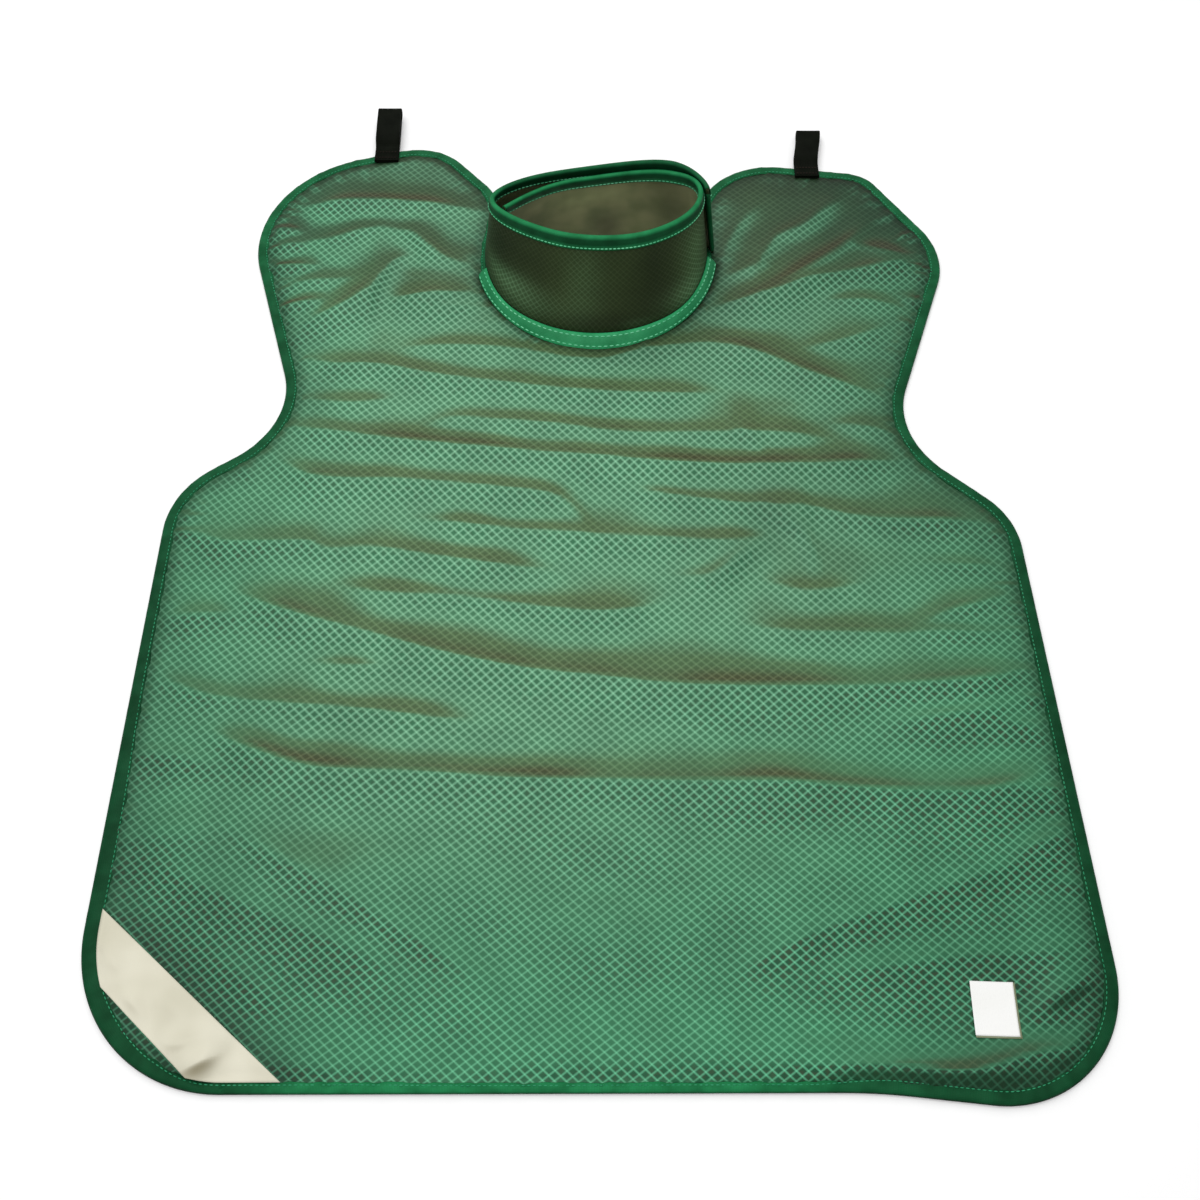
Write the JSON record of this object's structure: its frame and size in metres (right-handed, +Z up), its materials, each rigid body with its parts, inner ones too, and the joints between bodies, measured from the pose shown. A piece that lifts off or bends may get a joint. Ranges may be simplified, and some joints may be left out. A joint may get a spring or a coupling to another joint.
{
  "type": "lead x-ray apron",
  "caption": "Dental patient x-ray apron of heavy green ripstop nylon with bound edges, a standing overlapped neck collar and webbing hanging loops, lying flat with soft folds.",
  "frame": {"origin": "on the table under the middle of the apron's box", "axes": "+X towards the wearer's left, +Y from the hem to the shoulders, +Z up from the table"},
  "size_m": [0.612, 0.8286, 0.0816],
  "materials": {
    "ripstop_nylon": "coated ripstop weave with a soft sheen",
    "binding_tape": "smooth woven tape",
    "collar_nylon": "coated ripstop weave, dark",
    "hook_and_loop": "matt pile",
    "webbing": "matt woven webbing",
    "satin": "satin",
    "label_paper": "smooth coated label"
  },
  "bodies": {
    "root": {"apron_panel": "ripstop_nylon", "edge_binding": "binding_tape", "collar_band": "collar_nylon", "collar_binding": "binding_tape", "neck_tape": "binding_tape", "collar_closure": "hook_and_loop", "hanging_loop_left": "webbing", "hanging_loop_right": "webbing", "corner_patch": "satin", "tag": "label_paper"}
  },
  "joints": []
}
